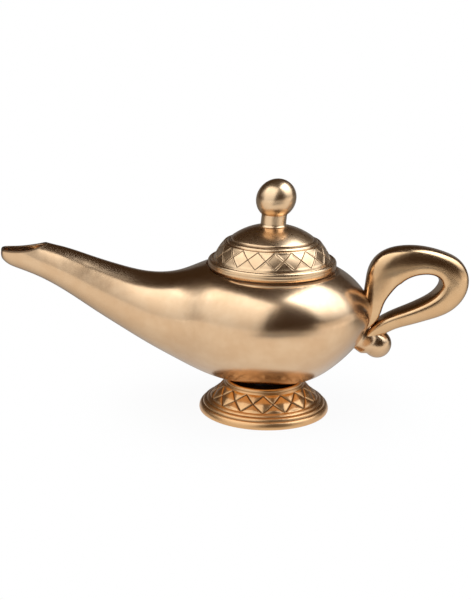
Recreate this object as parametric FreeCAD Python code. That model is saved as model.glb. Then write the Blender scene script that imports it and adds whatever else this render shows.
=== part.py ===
"""Genie oil lamp in cast brass: bowl and spout in two half shells, loop handle, foot and loose lid.

Millimetres, +Z up.  The origin is the centre of the foot's rest face, the spout points to -X,
the handle to +X, and the parting plane of the casting is y = 0.
"""
import FreeCAD, Part
import math
import os

V = FreeCAD.Vector
ALONG_X = V(1, 0, 0)
ALONG_Y = V(0, 1, 0)
UP = V(0, 0, 1)

# Clearances, and the overrun of every cut
seat_gap = 0.15
running_gap = 0.05
hole_play = 0.2
overrun = 1.0

# Casting of bowl and spout
shell_wall = 2.4
bowl_axis_x = 2.6
bowl_radius = 51.5
bowl_half_width = 48.5
bowl_rise = 28.3
bowl_depth = 37.6
bowl_seat_z = 16.2
bowl_flat_depth = 0.6
bowl_middle_z = bowl_seat_z + bowl_depth - bowl_flat_depth
spout_reach = 139.1
spout_lift = 31.0
spout_root_height = 37.6
spout_root_width = 38.0
floor_boss_radius = 6.4
floor_boss_height = 2.8

# Nozzle, cut open on top like a spoon
scoop_start_rise = 31.7
scoop_low_rise = 31.1
scoop_low_setback = 10.1
scoop_end_rise = 34.7
scoop_end_setback = 24.5

# Mouth of the bowl and the collar in it
mouth_radius = 28.6
collar_wall = 2.0
collar_depth = 7.0
collar_flange_radius = 32.2
collar_flange_thickness = 0.6
mouth_drop = 6.2
collar_floor_z = bowl_middle_z + bowl_rise - mouth_drop
mouth_recess_radius = 33.8
mouth_land_thickness = 2.2

# Lid, its soft seal and its skirt; the lid's heights count from the collar's floor
seal_thickness = 0.5
seal_width = 2.4
rim_bottom_height = 1.2
rim_radius = 33.5
rim_bulge = 0.5
rim_groove_height = 3.9
rim_top_radius = 32.4
rim_top_height = 6.1
band_bottom_radius = 30.3
band_bottom_height = 5.3
band_top_radius = 24.7
band_top_height = 14.9
band_bulge = 0.6
bead_outer_radius = 23.3
bead_low_height = 13.9
bead_high_height = 16.1
bead_bulge = 0.8
cap_edge_radius = 21.2
cap_edge_height = 17.2
cap_bulge = 0.7
lid_top_radius = 8.4
lid_height = 23.0
lid_wall = 2.0
lid_inner_radius = 20.7
lid_inner_height = 14.3
skirt_wall = 1.5
skirt_depth = 6.8
skirt_hold = 2.6
rim_bottom_z = collar_floor_z + rim_bottom_height
lid_top_z = collar_floor_z + lid_height

# Knob and its fastening
knob_radius = 10.2
knob_height = 24.2
knob_neck_radius = 6.7
knob_neck_flare = 0.5
knob_neck_share = 0.72
stud_radius = 2.0
stud_engagement = 9.0
stud_end = 2.0
knob_washer_radius = 5.0
knob_washer_thickness = 0.8
knob_nut_flats = 7.0
knob_nut_height = 3.2

# Handle
handle_span = 47.0
handle_rise = 37.0
handle_corner_x = 51.0
handle_corner_drop = 7.7
handle_depth = 17.6
handle_thickness = 12.8
handle_root_reach = 4.7
handle_root_rise = 3.7
handle_root_thickness = 1.28
screw_radius = 1.5
screw_head_radius = 2.8
screw_head_height = 1.6
screw_reach = 2.6
lower_screw_drop = 2.7
upper_screw_rise = 5.8
screw_heights = (bowl_middle_z - lower_screw_drop, bowl_middle_z + upper_screw_rise)
screw_washer_radius = 3.2
screw_washer_thickness = 0.6

# Ball under the handle's tail, its web and its fastening
ball_radius = 7.25
ball_centre_x = 58.3
ball_centre_drop = 16.3
ball_centre_z = bowl_middle_z - ball_centre_drop
ball_web_half_height = 5.6
ball_web_half_depth = 3.0
ball_axis_angle = 149.0
ball_stud_radius = 1.6
ball_nut_flats = 5.5
ball_nut_height = 2.4
ball_stud_end = 1.2
ball_spot_dip = 0.1
ball_spot_radius = 4.0

# Foot and its fastening
foot_radius = 34.1
foot_lip_radius = 20.3
foot_lip_step = 0.4
foot_lip_z = bowl_seat_z + foot_lip_step
foot_lip_wall = 1.8
gasket_thickness = 0.8
foot_web_top_z = bowl_seat_z - gasket_thickness
foot_web = 2.2
foot_wall = 2.2
lattice_bottom_radius = 28.3
lattice_bottom_z = 7.0
lattice_top_radius = 20.9
lattice_top_z = 14.4
base_bead_height = 2.8
middle_bead_top_z = 4.9
middle_bead_radius = 32.5
upper_bead_radius = 30.3
base_bulge = 0.5
lip_step = 0.3
felt_radius = 32.4
foot_inner_radius = 26.2
foot_waist_radius = 16.5
felt_thickness = 1.4
felt_proud = 0.3
gasket_radius = 9.0
bolt_radius = 2.5
bolt_head_flats = 8.0
bolt_head_height = 3.4
bolt_end = 1.6
foot_washer_radius = 6.0
foot_washer_thickness = 1.0
foot_nut_flats = 8.0
foot_nut_height = 4.0

# Wick holder: a plate across the spout with a short tube through it
holder_setback = 33.5
holder_plate = 2.0
holder_tube_radius = 3.5
holder_tube_wall = 0.7
holder_tube_length = 15.0
holder_slope = 24.0

# Sections of the spout, from the nozzle's end to the root: place along the reach, height of the
# middle, height, width, wall, and how full the corners are.
spout_section_shares = (
    (0.9950, 0.925, 0.064, 0.068, 0.55, 0.55),
    (0.9915, 0.938, 0.176, 0.170, 0.55, 0.55),
    (0.9830, 0.955, 0.275, 0.250, 0.55, 0.55),
    (0.9690, 0.965, 0.375, 0.300, 0.56, 0.55),
    (0.9326, 0.958, 0.479, 0.358, 0.58, 0.55),
    (0.8645, 0.855, 0.500, 0.421, 0.65, 0.55),
    (0.7713, 0.687, 0.585, 0.511, 0.80, 0.55),
    (0.6638, 0.452, 0.718, 0.632, 0.90, 0.55),
    (0.5563, 0.224, 0.848, 0.774, 1.00, 0.55),
    (0.4487, 0.029, 1.000, 1.000, 1.00, 0.55),
)
# Sections of the bowl towards the spout: place along the reach, rise, depth, width, drop of the
# widest line, fullness above and below it.
bowl_left_shares = (
    (0.3412, 0.724, 0.694, 0.536, 0.045, 0.57, 0.48),
    (0.2337, 0.898, 0.878, 0.753, 0.035, 0.61, 0.42),
    (0.1118, 0.982, 0.984, 0.940, 0.010, 0.64, 0.37),
)
# Sections of the bowl from its axis to the handle: the same, with the place along the radius.
bowl_right_shares = (
    (0.0, 1.000, 1.000, 1.000, 0.0, 0.637, 0.36),
    (0.233, 0.984, 0.987, 0.9725, 0.0, 0.63, 0.38),
    (0.4272, 0.935, 0.915, 0.904, 0.0, 0.62, 0.40),
    (0.602, 0.849, 0.771, 0.7985, 0.0, 0.61, 0.42),
    (0.7476, 0.730, 0.601, 0.664, 0.0, 0.605, 0.44),
    (0.8641, 0.577, 0.420, 0.503, 0.0, 0.60, 0.45),
    (0.9476, 0.390, 0.229, 0.3196, 0.0, 0.60, 0.45),
    (0.9903, 0.189, 0.074, 0.139, 0.0, 0.60, 0.45),
)
# Middle line of the handle: place, height, thickness and depth.  Root and tail, where it meets the
# bowl, count in their own reach, rise and thickness, so that they stay together.
handle_root_shares = (
    (0.10, 0.10, 2.4, 0.42),
    (0.55, 1.60, 5.0, 0.66),
    (0.97, 4.23, 8.4, 0.82),
)
handle_loop_shares = (
    (0.147, 0.627, 1.15, 0.88),
    (0.235, 0.833, 1.45, 0.94),
    (0.436, 0.960, 1.26, 0.97),
    (0.611, 0.980, 1.07, 0.97),
    (0.818, 0.904, 0.92, 0.98),
    (0.919, 0.800, 1.06, 1.00),
    (0.960, 0.685, 1.14, 1.00),
    (0.885, 0.455, 1.03, 0.99),
    (0.654, 0.274, 0.80, 0.96),
    (0.468, 0.182, 0.70, 0.90),
    (0.291, 0.094, 0.64, 0.78),
)
handle_tail_shares = (
    (1.53, -0.15, 5.8, 0.62),
    (0.70, -0.90, 4.2, 0.48),
    (0.30, -1.65, 2.8, 0.36),
)
handle_fullness_share = 0.82


def quarter(start, corner, end, fullness):
    """One quarter of a rounded section, drawn towards its corner by the fullness."""
    curve = Part.BezierCurve()
    curve.setPoles([start, start + (corner - start) * fullness, end + (corner - end) * fullness, end])
    return curve.toShape()


def rounded_ring(right, top, left, bottom, fullness_above, fullness_below):
    """Closed ring through four points, which are right, top, left and bottom of its middle."""
    middle = (right + left) * 0.5
    corners = (
        (right, right + (top - middle), top, fullness_above),
        (top, left + (top - middle), left, fullness_above),
        (left, left + (bottom - middle), bottom, fullness_below),
        (bottom, right + (bottom - middle), right, fullness_below),
    )
    return Part.Wire([quarter(*corner) for corner in corners])


def upright_ring(x, top_z, bottom_z, widest_z, half_width, fullness_above, fullness_below):
    """Section of bowl or spout in the plane square to X."""
    return rounded_ring(
        V(x, half_width, widest_z), V(x, 0, top_z), V(x, -half_width, widest_z), V(x, 0, bottom_z),
        fullness_above, fullness_below)


def body_solid(inset, grow):
    """Solid form of bowl and spout, moved inwards by the inset or outwards by grow."""
    rings = []
    hollow = inset > 0
    for number, share in enumerate(spout_section_shares):
        place, lift, height, width, wall, fullness = share
        cut_back = inset * wall - grow
        x = bowl_axis_x - spout_reach * place
        if hollow and number == 0:
            continue
        if number <= 1:
            x += cut_back
        middle_z = bowl_middle_z + spout_lift * lift
        half_height = spout_root_height * height / 2 - cut_back
        half_width = spout_root_width * width / 2 - cut_back
        rings.append(upright_ring(
            x, middle_z + half_height, middle_z - half_height, middle_z, half_width, fullness, fullness))
    change = inset - grow
    for shares, reach in ((bowl_left_shares, -spout_reach), (bowl_right_shares, bowl_radius - change)):
        for place, rise, depth, width, drop, above, below in shares:
            rings.append(upright_ring(
                bowl_axis_x + reach * place,
                bowl_middle_z + (bowl_rise - change) * rise,
                bowl_middle_z - (bowl_depth - change) * depth,
                bowl_middle_z - bowl_depth * drop,
                (bowl_half_width - change) * width, above, below))
    return Part.makeLoft(rings, True, False)


def upright_cylinder(radius, low_z, high_z, x):
    return Part.makeCylinder(radius, high_z - low_z, V(x, 0, low_z), UP)


def upright_tube(outer, inner, low_z, high_z, x):
    core = upright_cylinder(inner, low_z - overrun, high_z + overrun, x)
    return upright_cylinder(outer, low_z, high_z, x).cut(core)


def hexagon_prism(flats, height, base, direction):
    """Nut or bolt head with the given width over flats."""
    corner = flats / math.sqrt(3)
    turns = [math.radians(60 * step) for step in range(7)]
    points = [V(corner * math.cos(turn), corner * math.sin(turn), 0) for turn in turns]
    prism = Part.Face(Part.makePolygon(points)).extrude(UP * height)
    prism.Placement = FreeCAD.Placement(base, FreeCAD.Rotation(UP, direction))
    return prism


def hexagon_nut(flats, bore, height, base, direction):
    core = Part.makeCylinder(bore, height + 2 * overrun, base - direction * overrun, direction)
    return hexagon_prism(flats, height, base, direction).cut(core)


def scoop_cutter():
    """Everything above the nozzle's rim, which dips like a spoon's edge."""
    tip_x = bowl_axis_x - spout_reach - overrun
    low_x = bowl_axis_x - spout_reach + scoop_low_setback
    end_x = bowl_axis_x - spout_reach + scoop_end_setback
    high_z = bowl_middle_z + scoop_end_rise + spout_root_height / 2
    start = V(tip_x, 0, bowl_middle_z + scoop_start_rise)
    end = V(end_x, 0, bowl_middle_z + scoop_end_rise)
    edges = [
        Part.Arc(start, V(low_x, 0, bowl_middle_z + scoop_low_rise), end).toShape(),
        Part.makeLine(end, V(end_x, 0, high_z)),
        Part.makeLine(V(end_x, 0, high_z), V(tip_x, 0, high_z)),
        Part.makeLine(V(tip_x, 0, high_z), start),
    ]
    face = Part.Face(Part.Wire(edges))
    face.translate(V(0, -spout_root_width, 0))
    return face.extrude(ALONG_Y * 2 * spout_root_width)


def wall_x(height_z):
    """Where the inside of the bowl's wall stands at the handle, at the given height."""
    reach = bowl_radius - shell_wall
    previous = None
    for place, rise, depth, width, drop, above, below in bowl_right_shares:
        share = rise
        size = bowl_rise - shell_wall
        if height_z < bowl_middle_z:
            share = depth
            size = bowl_depth - shell_wall
        level = abs(height_z - bowl_middle_z) / size
        if previous is not None and share <= level <= previous[1]:
            part = (previous[1] - level) / (previous[1] - share)
            return bowl_axis_x + reach * (previous[0] + part * (place - previous[0]))
        previous = (place, share)
    return bowl_axis_x + reach * previous[0]


def screw_seat_x(height_z):
    """Flat spot inside the wall, on which a handle screw's washer lies."""
    low = wall_x(height_z - screw_washer_radius)
    high = wall_x(height_z + screw_washer_radius)
    return max(low, high, wall_x(height_z))


def ball_axis():
    """Direction from the ball towards the bowl, square to the bowl's wall."""
    angle = math.radians(ball_axis_angle)
    return V(math.cos(angle), 0, math.sin(angle))


def ball_seat(inner):
    """Point of the ball's axis on the inside of the bowl's wall."""
    centre = V(ball_centre_x, 0, ball_centre_z)
    line = Part.makeLine(centre, centre + ball_axis() * bowl_radius)
    ends = inner.common(line).Vertexes
    return min((vertex.Point.distanceToPoint(centre), vertex.Point) for vertex in ends)[1]


def ball_spot(inner):
    """Centre of the flat spot under the ball's nut, a little inside the wall."""
    return ball_seat(inner) - ball_axis() * ball_spot_dip


def body_shell(outer, inner):
    """Bowl and spout in one, before the casting is parted into its two halves."""
    shell = outer.cut(inner)
    boss_top = bowl_seat_z + floor_boss_height
    shell = shell.fuse(upright_cylinder(floor_boss_radius, bowl_seat_z, boss_top, 0))
    below = bowl_seat_z - bowl_depth
    shell = shell.cut(upright_cylinder(bowl_radius, below, bowl_seat_z, 0))
    shell = shell.cut(upright_cylinder(bolt_radius + hole_play, below, boss_top + overrun, 0))
    top = bowl_middle_z + bowl_rise + overrun
    land = upright_cylinder(
        mouth_recess_radius + mouth_land_thickness, collar_floor_z - mouth_land_thickness,
        collar_floor_z, bowl_axis_x)
    shell = shell.fuse(land.common(outer))
    bore = mouth_radius + collar_wall + hole_play
    shell = shell.cut(upright_cylinder(bore, bowl_middle_z, top, bowl_axis_x))
    shell = shell.cut(upright_cylinder(mouth_recess_radius, collar_floor_z, top, bowl_axis_x))
    shell = shell.cut(scoop_cutter())
    for height in screw_heights:
        seat = screw_seat_x(height)
        spot = V(seat - shell_wall - overrun, 0, height)
        shell = shell.cut(Part.makeCylinder(
            screw_washer_radius + hole_play, shell_wall + overrun, spot, ALONG_X))
        shell = shell.cut(Part.makeCylinder(
            screw_radius + hole_play, 2 * shell_wall + overrun, spot, ALONG_X))
    spot = ball_spot(inner)
    shell = shell.cut(Part.makeCylinder(ball_spot_radius, shell_wall, spot, ball_axis()))
    return shell.cut(Part.makeCylinder(
        ball_stud_radius + hole_play, 2 * ball_radius, spot - ball_axis() * ball_radius, ball_axis()))


def half_shell(shell, side):
    """Half of the casting on one side of its parting plane: side is -1 for the front."""
    length = 2 * spout_reach
    depth = 2 * bowl_half_width
    near_y = -depth if side < 0 else 0
    block = Part.makeBox(length, depth, length, V(-spout_reach, near_y, -bowl_depth))
    return shell.common(block)


def mouth_collar():
    top = collar_floor_z + collar_flange_thickness
    flange = upright_cylinder(collar_flange_radius, collar_floor_z, top, bowl_axis_x)
    sleeve = upright_cylinder(mouth_radius + collar_wall, collar_floor_z - collar_depth, top, bowl_axis_x)
    bore = upright_cylinder(mouth_radius, collar_floor_z - collar_depth - overrun, top + overrun, bowl_axis_x)
    return flange.fuse(sleeve).cut(bore).removeSplitter()


def wick_holder(inner):
    """Plate that fits across the spout, with the tube that grips a wick."""
    centre_x = bowl_axis_x - spout_reach + holder_setback
    slab = Part.makeBox(
        holder_plate, spout_root_width, 2 * spout_root_height,
        V(centre_x, -spout_root_width / 2, bowl_middle_z))
    plate = largest_solid(inner.common(slab))
    middle = plate.CenterOfMass
    slope = math.radians(holder_slope)
    direction = V(-math.cos(slope), 0, math.sin(slope))
    start = middle - direction * holder_tube_length / 2
    tube = Part.makeCylinder(holder_tube_radius, holder_tube_length, start, direction)
    core = Part.makeCylinder(
        holder_tube_radius - holder_tube_wall, holder_tube_length + 2 * overrun,
        start - direction * overrun, direction)
    return plate.fuse(tube).cut(core)


def handle_points():
    """Places along the handle's middle line, each with its half thickness and half depth."""
    points = []
    at_bowl = (handle_root_reach, handle_root_rise, handle_root_thickness)
    free = (handle_span, handle_rise, handle_thickness)
    corner_z = bowl_middle_z - handle_corner_drop
    parts = ((handle_root_shares, at_bowl), (handle_loop_shares, free), (handle_tail_shares, at_bowl))
    for shares, (span, rise, thick) in parts:
        for along, up, thickness, depth in shares:
            place = V(handle_corner_x + span * along, 0, corner_z + rise * up)
            points.append((place, thick * thickness / 2, handle_depth * depth / 2))
    return points


def handle_form():
    """Loop of rounded sections, each square to the handle's middle line."""
    points = handle_points()
    rings = []
    for number, (place, half_thickness, half_depth) in enumerate(points):
        before = points[max(number - 1, 0)][0]
        after = points[min(number + 1, len(points) - 1)][0]
        along = (after - before).normalize()
        across = V(-along.z, 0, along.x) * half_thickness
        deep = ALONG_Y * half_depth
        rings.append(rounded_ring(
            place + across, place + deep, place - across, place - deep,
            handle_fullness_share, handle_fullness_share))
    return Part.makeLoft(rings, True, False)


def handle_loop(form, ball, body_room):
    handle = form.cut(body_room).cut(ball)
    for height in screw_heights:
        start = V(screw_seat_x(height), 0, height)
        handle = handle.cut(Part.makeCylinder(
            screw_radius + running_gap, screw_length() + hole_play, start, ALONG_X))
    return largest_solid(handle)


def largest_solid(shape):
    return max(shape.Solids, key=lambda solid: solid.Volume)


def screw_length():
    """Length of a handle screw from its washer to its end."""
    return shell_wall + screw_reach


def handle_screws():
    screws = []
    for height in screw_heights:
        seat = screw_seat_x(height) - screw_washer_thickness
        shank = Part.makeCylinder(
            screw_radius, screw_length() + screw_washer_thickness, V(seat, 0, height), ALONG_X)
        head = Part.makeCylinder(
            screw_head_radius, screw_head_height, V(seat - screw_head_height, 0, height), ALONG_X)
        screws.append(head.fuse(shank).removeSplitter())
    return Part.makeCompound(screws)


def handle_washers():
    washers = []
    for height in screw_heights:
        base = V(screw_seat_x(height) - screw_washer_thickness, 0, height)
        disc = Part.makeCylinder(screw_washer_radius, screw_washer_thickness, base, ALONG_X)
        core = Part.makeCylinder(
            screw_radius + hole_play, screw_washer_thickness + 2 * overrun, base - ALONG_X * overrun, ALONG_X)
        washers.append(disc.cut(core))
    return Part.makeCompound(washers)


def ball_form(grow):
    """Ball with the flat web that joins it to the bowl."""
    centre = V(ball_centre_x, 0, ball_centre_z)
    ball = Part.makeSphere(ball_radius + grow, centre)
    outline = Part.Ellipse(V(0, 0, 0), ball_web_half_height + grow, ball_web_half_depth + grow).toShape()
    web = Part.Face(Part.Wire([outline])).extrude(UP * 2 * ball_radius)
    turn = FreeCAD.Rotation(ALONG_Y.cross(ball_axis()), ALONG_Y, ball_axis())
    web.Placement = FreeCAD.Placement(centre, turn)
    return ball.fuse(web)


def handle_ball(body_room, inner):
    ball = largest_solid(ball_form(0).cut(body_room))
    start = ball_spot(inner)
    hole = Part.makeCylinder(
        ball_stud_radius + running_gap, ball_stud_length(inner) + hole_play, start, -ball_axis())
    return ball.cut(hole)


def ball_stud_length(inner):
    """From the nut's seat to the middle of the ball."""
    return ball_spot(inner).distanceToPoint(V(ball_centre_x, 0, ball_centre_z))


def ball_stud(inner):
    back = ball_nut_height + ball_stud_end
    start = ball_spot(inner) + ball_axis() * back
    return Part.makeCylinder(ball_stud_radius, ball_stud_length(inner) + back, start, -ball_axis())


def ball_nut(inner):
    return hexagon_nut(
        ball_nut_flats, ball_stud_radius + running_gap, ball_nut_height, ball_spot(inner), ball_axis())


def revolve(edges, x):
    face = Part.Face(Part.Wire(edges))
    solid = face.revolve(V(0, 0, 0), UP, 360)
    solid.translate(V(x, 0, 0))
    return solid


def profile(points):
    """Closed outline in the XZ plane: a third value in a point makes an arc with that bulge."""
    edges = []
    for number, point in enumerate(points):
        start = V(point[0], 0, point[1])
        following = points[(number + 1) % len(points)]
        end = V(following[0], 0, following[1])
        if len(point) == 3:
            chord = end - start
            middle = (start + end) * 0.5 + V(chord.z, 0, -chord.x).normalize() * point[2]
            edges.append(Part.Arc(start, middle, end).toShape())
        else:
            edges.append(Part.makeLine(start, end))
    return edges


def foot():
    """Hollow cast foot: three beads, the lattice cone, the lip, and a web for the bolt."""
    points = [
        (foot_radius - base_bulge, felt_proud, base_bulge),
        (middle_bead_radius, base_bead_height, base_bulge),
        (upper_bead_radius, middle_bead_top_z, base_bulge),
        (lattice_bottom_radius, lattice_bottom_z),
        (lattice_top_radius, lattice_top_z, lip_step),
        (foot_lip_radius, foot_lip_z - lip_step, lip_step),
        (foot_lip_radius - foot_lip_wall, foot_lip_z),
        (foot_lip_radius - foot_lip_wall, foot_web_top_z),
        (bolt_radius + hole_play, foot_web_top_z),
        (bolt_radius + hole_play, foot_web_bottom()),
        (foot_waist_radius, foot_web_bottom()),
        (foot_inner_radius, lattice_bottom_z - foot_wall),
        (foot_inner_radius, felt_thickness),
        (felt_radius, felt_thickness),
        (felt_radius, felt_proud),
    ]
    return revolve(profile(points), 0)


def foot_felt():
    return upright_cylinder(felt_radius - running_gap, 0, felt_thickness, 0)


def foot_gasket():
    return upright_tube(gasket_radius, bolt_radius + hole_play, foot_web_top_z, bowl_seat_z, 0)


def foot_web_bottom():
    return foot_web_top_z - foot_web


def foot_bolt():
    head_z = bowl_seat_z + floor_boss_height
    low_z = foot_web_bottom() - foot_washer_thickness - foot_nut_height - bolt_end
    shank = upright_cylinder(bolt_radius, low_z, head_z + overrun, 0)
    head = hexagon_prism(bolt_head_flats, bolt_head_height, V(0, 0, head_z), UP)
    return head.fuse(shank).removeSplitter()


def foot_washer():
    top = foot_web_bottom()
    return upright_tube(foot_washer_radius, bolt_radius + hole_play, top - foot_washer_thickness, top, 0)


def foot_nut():
    base = foot_web_bottom() - foot_washer_thickness - foot_nut_height
    return hexagon_nut(foot_nut_flats, bolt_radius + running_gap, foot_nut_height, V(0, 0, base), UP)


def lid_seal():
    low = collar_floor_z + collar_flange_thickness + running_gap
    inner = mouth_radius + hole_play
    return upright_tube(inner + seal_width, inner, low, low + seal_thickness, bowl_axis_x)


def lid_shell():
    """Lid casting: rim, lattice band, ring bead and cap, hollow inside."""
    bore = mouth_radius - hole_play
    points = [
        (rim_radius - rim_bulge, rim_bottom_z, rim_bulge),
        (rim_radius - rim_bulge, collar_floor_z + rim_groove_height, rim_bulge),
        (rim_top_radius, collar_floor_z + rim_top_height),
        (band_bottom_radius, collar_floor_z + band_bottom_height, band_bulge),
        (band_top_radius, collar_floor_z + band_top_height),
        (bead_outer_radius, collar_floor_z + bead_low_height, bead_bulge),
        (cap_edge_radius, collar_floor_z + bead_high_height),
        (cap_edge_radius, collar_floor_z + cap_edge_height, cap_bulge),
        (lid_top_radius, lid_top_z),
        (stud_radius + hole_play, lid_top_z),
        (stud_radius + hole_play, lid_ceiling()),
        (lid_top_radius, lid_ceiling(), -cap_bulge),
        (lid_inner_radius, collar_floor_z + lid_inner_height, -band_bulge),
        (bore, collar_floor_z + band_bottom_height),
        (bore, rim_bottom_z),
    ]
    return revolve(profile(points), bowl_axis_x)


def lid_skirt():
    outer = mouth_radius - hole_play - running_gap
    return upright_tube(
        outer, outer - skirt_wall, rim_bottom_z - skirt_depth, rim_bottom_z + skirt_hold, bowl_axis_x)


def lid_knob():
    """Ball knob on its neck, with the hole for its stud."""
    top = lid_top_z + knob_height
    centre_z = top - knob_radius
    neck = knob_neck_radius
    meet_z = centre_z - math.sqrt(knob_radius ** 2 - neck ** 2)
    neck_z = lid_top_z + (meet_z - lid_top_z) * knob_neck_share
    meet_radius = neck + knob_neck_flare
    blend_z = centre_z - math.sqrt(knob_radius ** 2 - meet_radius ** 2)
    edges = [
        Part.makeLine(V(0, 0, lid_top_z), V(meet_radius, 0, lid_top_z)),
        Part.makeLine(V(meet_radius, 0, lid_top_z), V(neck, 0, neck_z)),
        Part.makeLine(V(neck, 0, neck_z), V(meet_radius, 0, blend_z)),
        Part.Arc(V(meet_radius, 0, blend_z), V(knob_radius, 0, centre_z), V(0, 0, top)).toShape(),
        Part.makeLine(V(0, 0, top), V(0, 0, lid_top_z)),
    ]
    knob = revolve(edges, bowl_axis_x)
    hole = upright_cylinder(
        stud_radius + running_gap, lid_top_z - overrun, lid_top_z + stud_engagement + hole_play, bowl_axis_x)
    return knob.cut(hole)


def lid_ceiling():
    return lid_top_z - lid_wall


def knob_stud():
    low = lid_ceiling() - knob_washer_thickness - knob_nut_height - stud_end
    return upright_cylinder(stud_radius, low, lid_top_z + stud_engagement, bowl_axis_x)


def knob_washer():
    top = lid_ceiling()
    return upright_tube(
        knob_washer_radius, stud_radius + hole_play, top - knob_washer_thickness, top, bowl_axis_x)


def knob_nut():
    base = lid_ceiling() - knob_washer_thickness - knob_nut_height
    return hexagon_nut(
        knob_nut_flats, stud_radius + running_gap, knob_nut_height, V(bowl_axis_x, 0, base), UP)


def main():
    os.makedirs("parts", exist_ok=True)
    outer = body_solid(0, 0)
    inner = body_solid(shell_wall, 0)
    body_room = body_solid(0, seat_gap)
    bore_fit = body_solid(shell_wall + seat_gap, 0)
    shell = body_shell(outer, inner)
    ball_room = ball_form(seat_gap)
    shapes = {
        "body_shell_front": half_shell(shell, -1),
        "body_shell_rear": half_shell(shell, 1),
        "mouth_collar": mouth_collar(),
        "wick_holder": wick_holder(bore_fit),
        "handle_loop": handle_loop(handle_form(), ball_room, body_room),
        "handle_screws": handle_screws(),
        "handle_washers": handle_washers(),
        "handle_ball": handle_ball(body_room, inner),
        "ball_stud": ball_stud(inner),
        "ball_nut": ball_nut(inner),
        "foot": foot(),
        "foot_gasket": foot_gasket(),
        "foot_bolt": foot_bolt(),
        "foot_washer": foot_washer(),
        "foot_nut": foot_nut(),
        "foot_felt": foot_felt(),
        "lid_seal": lid_seal(),
        "lid_shell": lid_shell(),
        "lid_skirt": lid_skirt(),
        "lid_knob": lid_knob(),
        "knob_stud": knob_stud(),
        "knob_washer": knob_washer(),
        "knob_nut": knob_nut(),
    }
    for name, shape in shapes.items():
        shape.exportStep("parts/" + name + ".step")
        box = shape.BoundBox
        print("%-18s solids %d valid %s volume %.1f  x %.2f..%.2f y %.2f..%.2f z %.2f..%.2f" % (
            name, len(shape.Solids), shape.isValid(), shape.Volume,
            box.XMin, box.XMax, box.YMin, box.YMax, box.ZMin, box.ZMax))


main()
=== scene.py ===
"""Genie oil lamp: the looks of the cast brass lamp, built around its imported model.

The tables hold millimetres in the lamp's own frame: +Z up, -X to the nozzle, +X to the handle,
-Y to the front.
"""
import math

import bmesh
import bpy
import numpy as np
from mathutils import Matrix, Quaternion, Vector


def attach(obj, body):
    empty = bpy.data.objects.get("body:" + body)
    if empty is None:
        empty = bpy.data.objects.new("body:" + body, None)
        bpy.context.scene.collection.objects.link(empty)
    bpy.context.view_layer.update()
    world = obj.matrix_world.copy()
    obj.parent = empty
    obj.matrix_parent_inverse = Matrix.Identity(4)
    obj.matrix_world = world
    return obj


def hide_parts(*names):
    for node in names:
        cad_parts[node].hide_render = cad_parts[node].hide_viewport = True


bl_info = {
    "name": "Genie Oil Lamp",
    "version": (1, 0, 0),
    "blender": (4, 5, 0),
    "location": "View3D > Sidebar > Lamp",
    "description": "Builds a cast brass oil lamp with a lattice on its lid and its foot",
    "category": "Add Mesh",
}

MM = 0.001
WELD = 2e-6
BOWL_X = 2.6

# Sections of bowl and spout from the nozzle's tip to the handle: place along X, top, bottom, height
# of the widest line, half width, fullness above and below that line, and wall.
BODY_SECTIONS = (
    (-135.8, 81.9, 81.9, 81.9, 0.0, 0.55, 0.55, 1.32),
    (-135.79, 83.08, 80.67, 81.88, 1.29, 0.55, 0.55, 1.32),
    (-135.32, 85.59, 78.97, 82.28, 3.23, 0.55, 0.55, 1.32),
    (-134.14, 87.98, 77.64, 82.81, 4.75, 0.55, 0.55, 1.32),
    (-132.19, 90.17, 76.07, 83.12, 5.7, 0.55, 0.55, 1.34),
    (-127.12, 91.9, 73.89, 82.9, 6.8, 0.55, 0.55, 1.39),
    (-117.65, 89.11, 70.3, 79.7, 8.0, 0.55, 0.55, 1.56),
    (-104.69, 85.5, 63.5, 74.5, 9.71, 0.55, 0.55, 1.92),
    (-89.73, 80.71, 53.71, 67.21, 12.01, 0.55, 0.55, 2.16),
    (-74.78, 76.09, 44.2, 60.14, 14.71, 0.55, 0.55, 2.4),
    (-59.81, 72.9, 35.3, 54.1, 19.0, 0.55, 0.55, 2.4),
    (-44.86, 73.69, 27.11, 51.51, 26.0, 0.57, 0.48, 2.4),
    (-29.91, 78.61, 20.19, 51.88, 36.52, 0.61, 0.45, 2.4),
    (-12.95, 80.99, 16.2, 52.82, 45.59, 0.64, 0.46, 2.4),
    (2.6, 81.5, 15.6, 53.2, 48.5, 0.637, 0.47, 2.4),
    (14.6, 81.05, 16.09, 53.2, 47.17, 0.63, 0.47, 2.4),
    (24.6, 79.66, 18.8, 53.2, 43.84, 0.62, 0.46, 2.4),
    (33.6, 76.95, 24.21, 53.2, 38.73, 0.61, 0.45, 2.4),
    (41.1, 73.15, 30.6, 53.2, 32.2, 0.605, 0.44, 2.4),
    (47.1, 68.3, 37.41, 53.2, 24.4, 0.6, 0.45, 2.4),
    (51.4, 63.2, 44.59, 53.2, 15.5, 0.6, 0.45, 2.4),
    (53.6, 58.55, 50.42, 53.2, 6.74, 0.6, 0.45, 2.4),
    (54.0, 53.3, 53.1, 53.2, 0.0, 0.6, 0.45, 2.4),
)
# Dip of the nozzle's rim, as three places along X with their heights.
NOZZLE_RIM = ((-137.5, 84.9), (-126.4, 84.3), (-112.0, 87.9))
# Painted dark reflection on that rim, standing in for the dark room mirrored in its top: full up
# to the first distance, gone at the second.
RIM_REFLECTION_PAINT = (0.5, 1.3)

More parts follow.
